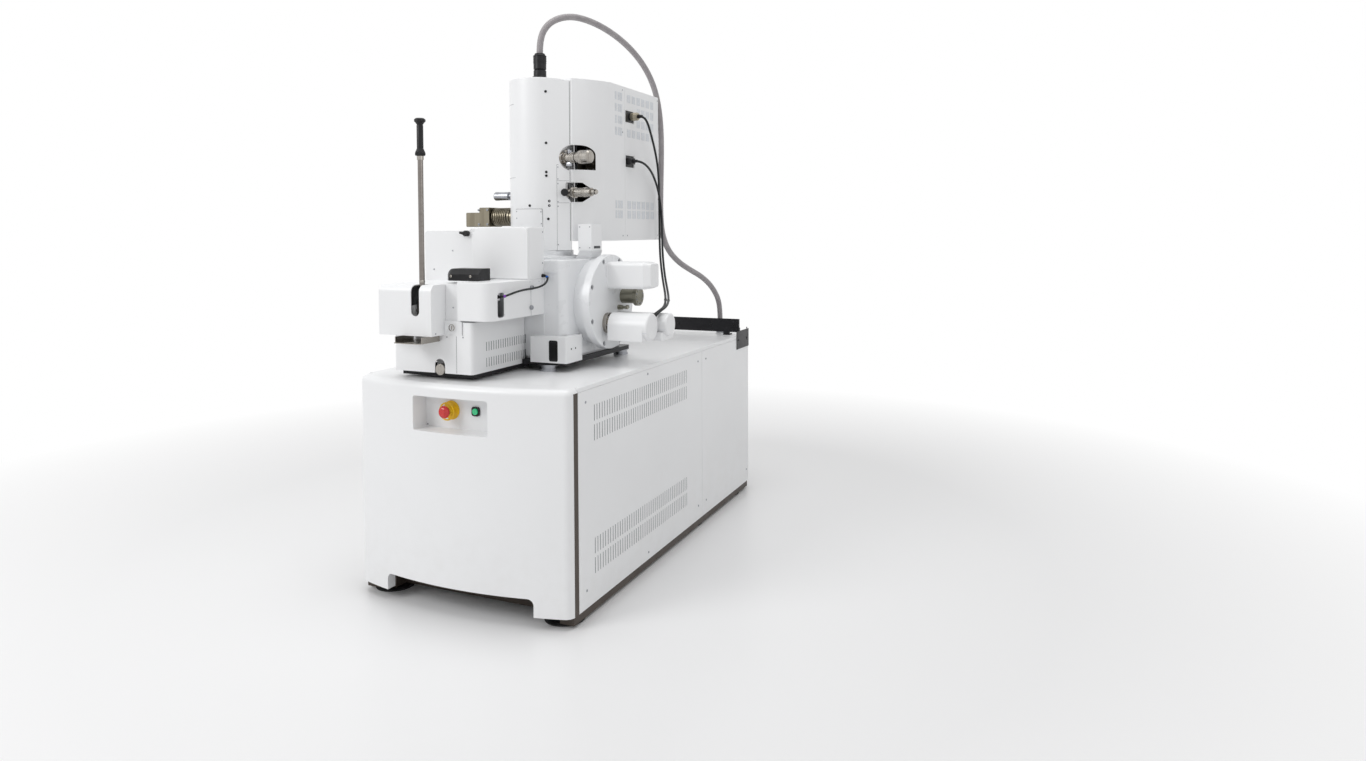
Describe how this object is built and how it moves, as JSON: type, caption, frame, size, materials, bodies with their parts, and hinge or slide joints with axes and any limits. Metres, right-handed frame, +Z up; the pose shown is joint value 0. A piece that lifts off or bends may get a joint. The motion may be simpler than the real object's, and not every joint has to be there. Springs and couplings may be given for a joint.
{
  "type": "scanning electron microscope",
  "caption": "Electron microscope main unit: cabinet with bowed front, chamber, round column, high-voltage box and specimen-exchange module with a folding rod.",
  "frame": {"origin": "on the floor below the middle of the outline without its cords", "axes": "+X to the operator's right, +Y to the rear, +Z up"},
  "size_m": [0.87, 1.712, 1.9903],
  "materials": {
    "cover_white": "satin",
    "chamber_white": "satin",
    "frame_brown": "satin",
    "pad_black": "matte",
    "plate_black": "matte",
    "bright_steel": "polished",
    "satin_steel": "satin",
    "valve_brass": "satin",
    "knob_black": "matte",
    "stop_red": "gloss",
    "stop_yellow": "satin",
    "button_green": "gloss",
    "bare_aluminium": "machined",
    "port_khaki": "satin",
    "crate_grey": "satin",
    "conduit_grey": "satin",
    "cable_black": "satin"
  },
  "bodies": {
    "main_unit": {"base_frame": "frame_brown", "front_panel": "cover_white", "control_plate": "cover_white", "right_side_panel": "cover_white", "left_side_panel": "cover_white", "rear_housing": "cover_white", "cabinet_top": "cover_white", "levelling_feet": "pad_black", "stop_base": "stop_yellow", "switch_bezel": "knob_black", "power_unit": "crate_grey", "rear_rail": "plate_black", "rear_gland": "satin_steel", "isolators": "satin_steel", "base_plate": "plate_black", "chamber_body": "chamber_white", "chamber_flange": "chamber_white", "flange_bolts": "satin_steel", "upper_detector": "cover_white", "detector_collar": "bright_steel", "lower_detector": "cover_white", "rear_detector": "cover_white", "blank_flange": "port_khaki", "chamber_skirt": "cover_white", "skirt_grille": "knob_black", "column_cover": "cover_white", "column_side_plate": "cover_white", "lens_barrel": "satin_steel", "column_plinth": "chamber_white", "top_gland": "knob_black", "upper_aperture": "bright_steel", "lower_aperture": "bright_steel", "gate_valve": "valve_brass", "hv_box": "cover_white", "hv_cover": "cover_white", "hv_connectors": "valve_brass", "junction_box": "cover_white", "module_base": "cover_white", "rod_box": "cover_white", "loading_tray": "bright_steel", "transfer_block": "cover_white", "transfer_cover": "cover_white", "transfer_housing": "cover_white", "latch_block": "knob_black", "conduit": "conduit_grey", "cable_a": "cable_black", "cable_b": "cable_black", "module_lead": "cable_black"},
    "stop_button": {"stop_head": "stop_red"},
    "power_button": {"switch_button": "button_green"},
    "stage_x": {"stage_x_slide": "bare_aluminium"},
    "stage_y": {"stage_y_slide": "bare_aluminium"},
    "specimen_turntable": {"specimen_table": "bright_steel"},
    "upper_drive": {"upper_aperture_knob": "bright_steel"},
    "lower_drive": {"lower_aperture_knob": "knob_black"},
    "left_drive": {"left_aperture_knob": "satin_steel"},
    "module_knob": {"base_knob": "bright_steel"},
    "lever": {"clamp_lever": "knob_black"},
    "swing_rod": {"exchange_rod": "bright_steel", "rod_handle": "knob_black"}
  },
  "joints": [
    {"name": "stop_press", "type": "slide", "parent": "main_unit", "child": "stop_button", "axis": [0, 1, 0], "range_m": [0, 0.004], "stiffness_N_per_m": 1500},
    {"name": "power_press", "type": "slide", "parent": "main_unit", "child": "power_button", "axis": [0, 1, 0], "range_m": [0, 0.003], "stiffness_N_per_m": 800},
    {"name": "stage_x_travel", "type": "slide", "parent": "main_unit", "child": "stage_x", "axis": [1, 0, 0], "range_m": [-0.03, 0.03]},
    {"name": "stage_y_travel", "type": "slide", "parent": "stage_x", "child": "stage_y", "axis": [0, 1, 0], "range_m": [-0.03, 0.03]},
    {"name": "stage_turn", "type": "hinge", "parent": "stage_y", "child": "specimen_turntable", "pos_m": [-0.055, -0.247, 0.85], "axis": [0, 0, 1], "continuous": true},
    {"name": "upper_drive_turn", "type": "hinge", "parent": "main_unit", "child": "upper_drive", "pos_m": [0.14063, -0.28858, 1.449], "axis": [0.9781, -0.2079, 0], "continuous": true},
    {"name": "lower_drive_turn", "type": "hinge", "parent": "main_unit", "child": "lower_drive", "pos_m": [0.07642, -0.30012, 1.326], "axis": [0.4226, -0.9063, 0], "continuous": true},
    {"name": "left_drive_turn", "type": "hinge", "parent": "main_unit", "child": "left_drive", "pos_m": [-0.2, -0.247, 1.32], "axis": [-1, 0, 0], "continuous": true},
    {"name": "module_knob_turn", "type": "hinge", "parent": "main_unit", "child": "module_knob", "pos_m": [-0.115, -0.744, 0.753], "axis": [0, -1, 0], "continuous": true},
    {"name": "lever_turn", "type": "hinge", "parent": "main_unit", "child": "lever", "pos_m": [-0.158, -0.554, 1.183], "axis": [0, 1, 0], "range_deg": [-80, 0]},
    {"name": "rod_fold", "type": "hinge", "parent": "main_unit", "child": "swing_rod", "pos_m": [-0.16, -0.779, 0.942], "axis": [1, 0, 0], "range_deg": [0, 90]}
  ]
}
